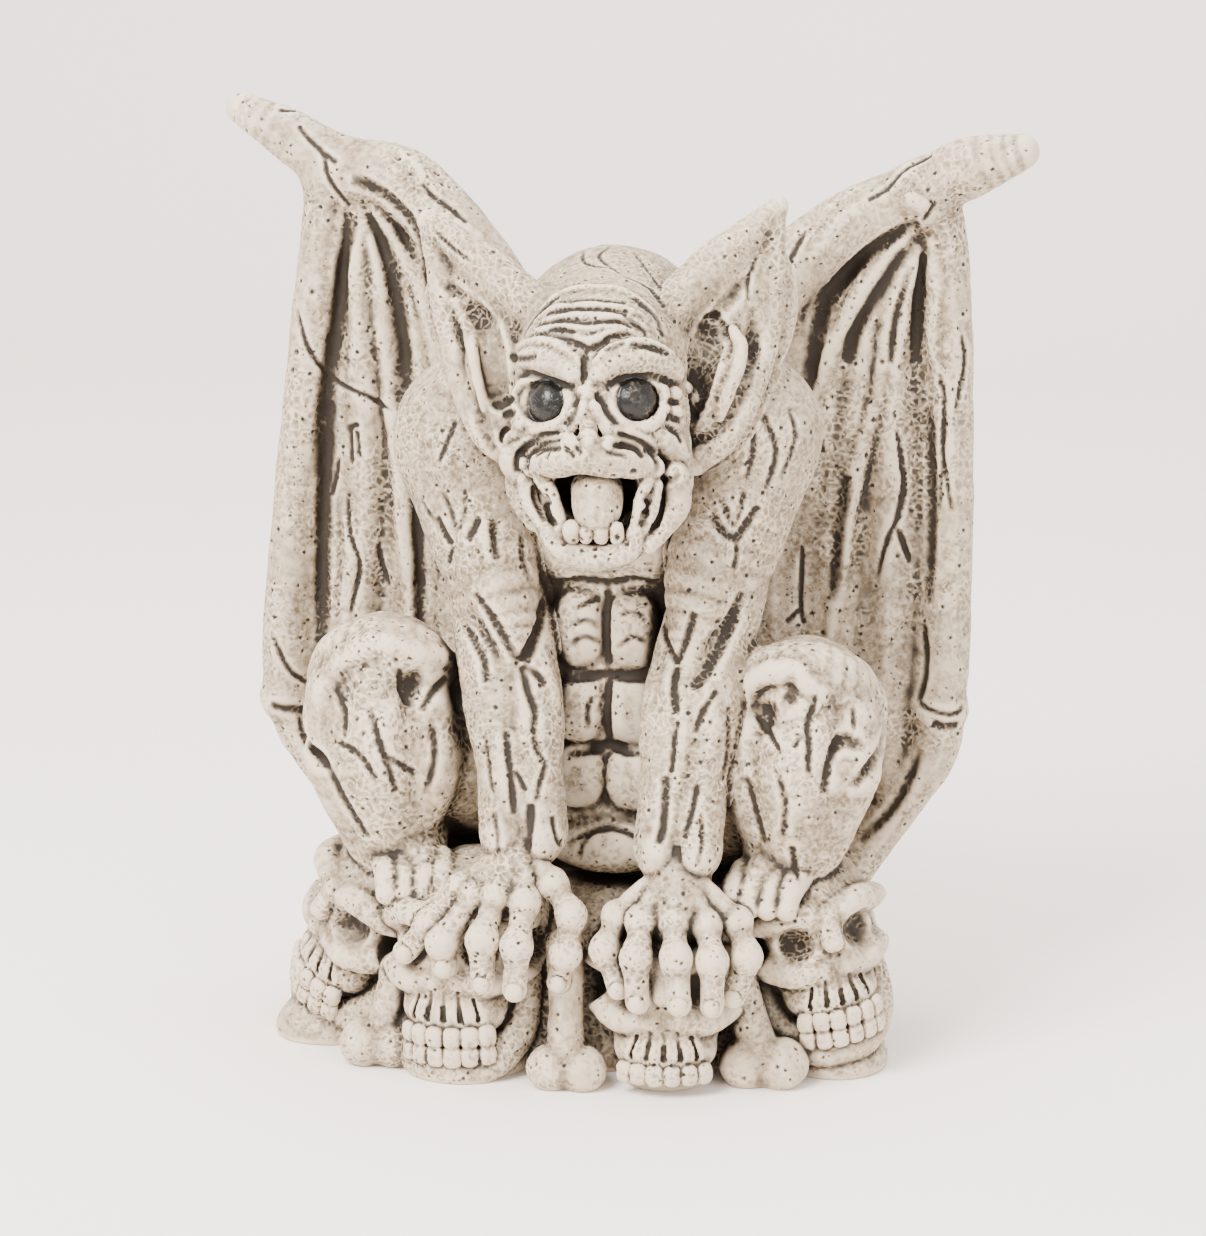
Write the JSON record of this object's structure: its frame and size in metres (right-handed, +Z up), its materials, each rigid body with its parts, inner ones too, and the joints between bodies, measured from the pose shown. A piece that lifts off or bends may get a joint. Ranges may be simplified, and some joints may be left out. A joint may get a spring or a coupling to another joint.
{
  "type": "gargoyle statue",
  "caption": "Winged gargoyle crouching on a pile of skulls and bones, one solid cast-stone garden or shelf ornament.",
  "frame": {"origin": "on the flat underside, below the figure's belly", "axes": "+Z up, -Y the way the figure faces, +X to the viewer's right"},
  "size_m": [0.3542, 0.1923, 0.3983],
  "materials": {
    "cast_stone": "matt cream cast stone with a dark wash left in the recesses"
  },
  "bodies": {
    "root": {"gargoyle_statue": "cast_stone"}
  },
  "joints": []
}
